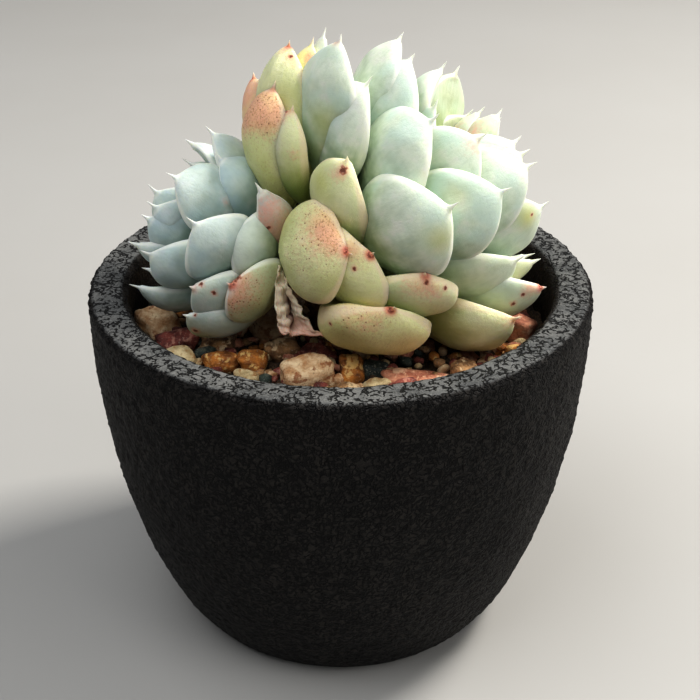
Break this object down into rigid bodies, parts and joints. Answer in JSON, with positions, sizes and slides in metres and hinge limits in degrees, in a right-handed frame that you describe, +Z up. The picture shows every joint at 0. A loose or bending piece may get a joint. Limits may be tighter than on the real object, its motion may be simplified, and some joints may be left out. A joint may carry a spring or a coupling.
{
  "type": "potted succulent",
  "caption": "Two-headed rosette succulent with plump pointed leaves, planted in gravel in a round bowl-shaped cast-stone pot.",
  "frame": {"origin": "middle of the underside of the pot's foot, the lowest point of the part", "axes": "+Z up along the pot's axis, -Y towards the front of the plant, +X towards the larger head"},
  "size_m": [0.115, 0.115, 0.1429],
  "materials": {
    "cast_stone": "coarse pitted, matt, charcoal",
    "potting_soil": "crumbly dark potting mix",
    "gravel": "mixed tan, brown, maroon and cream grit",
    "woody_stem": "dry bark with old leaf scars",
    "leaf_pale": "pale green leaf with a waxy bloom",
    "leaf_blue": "blue-green leaf with a waxy bloom",
    "dry_leaf": "dried papery leaf, tan and pink"
  },
  "bodies": {
    "root": {"pot": "cast_stone", "soil": "potting_soil", "gravel": "gravel", "stem": "woody_stem", "head_right": "leaf_pale", "head_left": "leaf_blue", "dry_leaf": "dry_leaf"}
  },
  "joints": []
}
